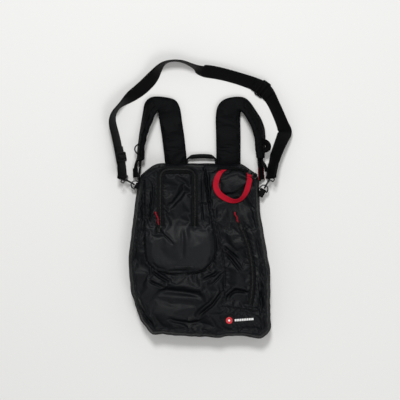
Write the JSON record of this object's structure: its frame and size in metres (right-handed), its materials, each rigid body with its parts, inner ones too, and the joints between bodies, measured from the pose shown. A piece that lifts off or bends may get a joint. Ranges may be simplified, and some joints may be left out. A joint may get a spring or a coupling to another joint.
{
  "type": "skate bag",
  "caption": "Soft carry bag lying on its back, with zipped front flap, side pocket zipper, padded shoulder straps, haul handle and clip-on sling strap.",
  "frame": {"origin": "middle of the back panel's outer face, on the surface the bag lies on", "axes": "+X across the bag, +Y towards the haul handle, +Z out of the front of the bag"},
  "size_m": [0.4628, 0.7108, 0.0677],
  "materials": {
    "shell_nylon": "slightly shiny plain-weave nylon",
    "back_mesh": "spacer mesh",
    "foam": "closed-cell foam",
    "board": "smooth",
    "binding": "grosgrain",
    "zip_coil": "satin",
    "zip_metal": "black enamel",
    "red_cord": "braided",
    "red_webbing": "ribbed webbing",
    "pad_fabric": "woven nylon over foam",
    "black_webbing": "ribbed webbing",
    "buckle_plastic": "moulded",
    "ring_metal": "black enamel",
    "badge_red": "moulded",
    "badge_white": "printed"
  },
  "bodies": {
    "root": {"main_shell": "shell_nylon", "back_panel": "back_mesh", "back_foam": "foam", "edge_piping": "binding", "base_board": "board", "shell_zip_coil": "zip_coil", "front_pocket": "shell_nylon", "side_zip_coil": "zip_coil", "zip_shield": "shell_nylon", "left_strap_anchor": "pad_fabric", "right_strap_anchor": "pad_fabric", "left_lower_anchor": "black_webbing", "right_lower_anchor": "black_webbing", "handle_anchors": "black_webbing", "left_ring_tab": "black_webbing", "right_ring_tab": "black_webbing", "left_swivel_eye": "buckle_plastic", "right_swivel_eye": "buckle_plastic", "sling_webbing": "black_webbing", "red_loop": "red_webbing", "red_loop_clip": "buckle_plastic", "badge_disc": "badge_red", "badge_bar": "badge_white"},
    "flap": {"front_flap": "shell_nylon", "flap_zip_coil": "zip_coil"},
    "front_slider": {"front_zip_slider": "zip_metal"},
    "front_pull": {"front_zip_pull": "zip_metal", "front_pull_cord": "red_cord"},
    "side_slider": {"side_zip_slider": "zip_metal"},
    "side_pull": {"side_zip_pull": "zip_metal", "side_pull_cord": "red_cord"},
    "handle": {"haul_handle": "black_webbing"},
    "left_strap": {"left_strap_pad": "pad_fabric", "left_ladder_lock": "buckle_plastic", "left_lower_webbing": "black_webbing", "left_webbing_tail": "black_webbing"},
    "left_ring": {"left_d_ring": "ring_metal"},
    "left_hook": {"left_snap_hook": "buckle_plastic"},
    "left_gate": {"left_hook_gate": "buckle_plastic"},
    "left_glide": {"left_tri_glide": "buckle_plastic"},
    "right_strap": {"right_strap_pad": "pad_fabric", "right_ladder_lock": "buckle_plastic", "right_lower_webbing": "black_webbing", "right_webbing_tail": "black_webbing"},
    "right_ring": {"right_d_ring": "ring_metal"},
    "right_hook": {"right_snap_hook": "buckle_plastic"},
    "right_gate": {"right_hook_gate": "buckle_plastic"},
    "right_glide": {"right_tri_glide": "buckle_plastic"}
  },
  "joints": [
    {"name": "flap_opening", "type": "hinge", "parent": "root", "child": "flap", "pos_m": [-0.054, 0.0624, 0.0583], "axis": [1, 0, 0], "range_deg": [0, 100]},
    {"name": "front_zip_slide", "type": "slide", "parent": "root", "child": "front_slider", "axis": [0, 1, 0], "range_m": [0, 0.13]},
    {"name": "front_pull_tilt", "type": "hinge", "parent": "front_slider", "child": "front_pull", "pos_m": [-0.1014, 0.0536, 0.064], "axis": [1, 0, 0], "range_deg": [0, 150]},
    {"name": "side_zip_slide", "type": "hinge", "parent": "root", "child": "side_slider", "pos_m": [-0.16264, -0.07042, 0.06], "axis": [0, 0, 1], "range_deg": [-36, 0]},
    {"name": "side_pull_tilt", "type": "hinge", "parent": "side_slider", "child": "side_pull", "pos_m": [0.10456, 0.0609, 0.064], "axis": [0.8989, 0.4381, 0], "range_deg": [0, 150]},
    {"name": "handle_lift", "type": "hinge", "parent": "root", "child": "handle", "pos_m": [0.005, 0.2225, 0.0138], "axis": [1, 0, 0], "range_deg": [0, 85]},
    {"name": "left_strap_lift", "type": "hinge", "parent": "root", "child": "left_strap", "pos_m": [-0.156, 0.174, 0.02], "axis": [0.8237, 0.5671, 0], "range_deg": [0, 60]},
    {"name": "right_strap_lift", "type": "hinge", "parent": "root", "child": "right_strap", "pos_m": [0.16, 0.174, 0.02], "axis": [0.7574, -0.6529, 0], "range_deg": [0, 60]},
    {"name": "left_ring_tilt", "type": "hinge", "parent": "root", "child": "left_ring", "pos_m": [-0.159, 0.164, 0.0186], "axis": [0.4848, 0.8746, 0], "range_deg": [0, 10]},
    {"name": "right_ring_tilt", "type": "hinge", "parent": "root", "child": "right_ring", "pos_m": [0.163, 0.152, 0.0186], "axis": [0.866, -0.5, 0], "range_deg": [0, 10]},
    {"name": "left_hook_swivel", "type": "hinge", "parent": "root", "child": "left_hook", "pos_m": [-0.159, 0.164, 0.022], "axis": [-0.8746, 0.4848, 0], "range_deg": [-12, 12]},
    {"name": "right_hook_swivel", "type": "hinge", "parent": "root", "child": "right_hook", "pos_m": [0.163, 0.152, 0.022], "axis": [0.5, 0.866, 0], "range_deg": [-12, 12]},
    {"name": "left_gate_opening", "type": "hinge", "parent": "left_hook", "child": "left_gate", "pos_m": [-0.17649, 0.1737, 0.03], "axis": [0.4848, 0.8746, 0], "range_deg": [0, 14], "stiffness_Nm_per_rad": 0.02, "springref_deg": -17.19},
    {"name": "right_gate_opening", "type": "hinge", "parent": "right_hook", "child": "right_gate", "pos_m": [0.173, 0.16932, 0.03], "axis": [0.866, -0.5, 0], "range_deg": [0, 14], "stiffness_Nm_per_rad": 0.02, "springref_deg": -17.19},
    {"name": "left_glide_slide", "type": "slide", "parent": "root", "child": "left_glide", "axis": [-0.0299, 0.9995, -0.0098], "range_m": [-0.005, 0.005]},
    {"name": "right_glide_slide", "type": "slide", "parent": "root", "child": "right_glide", "axis": [0.7777, -0.628, 0.0301], "range_m": [-0.005, 0.005]}
  ]
}
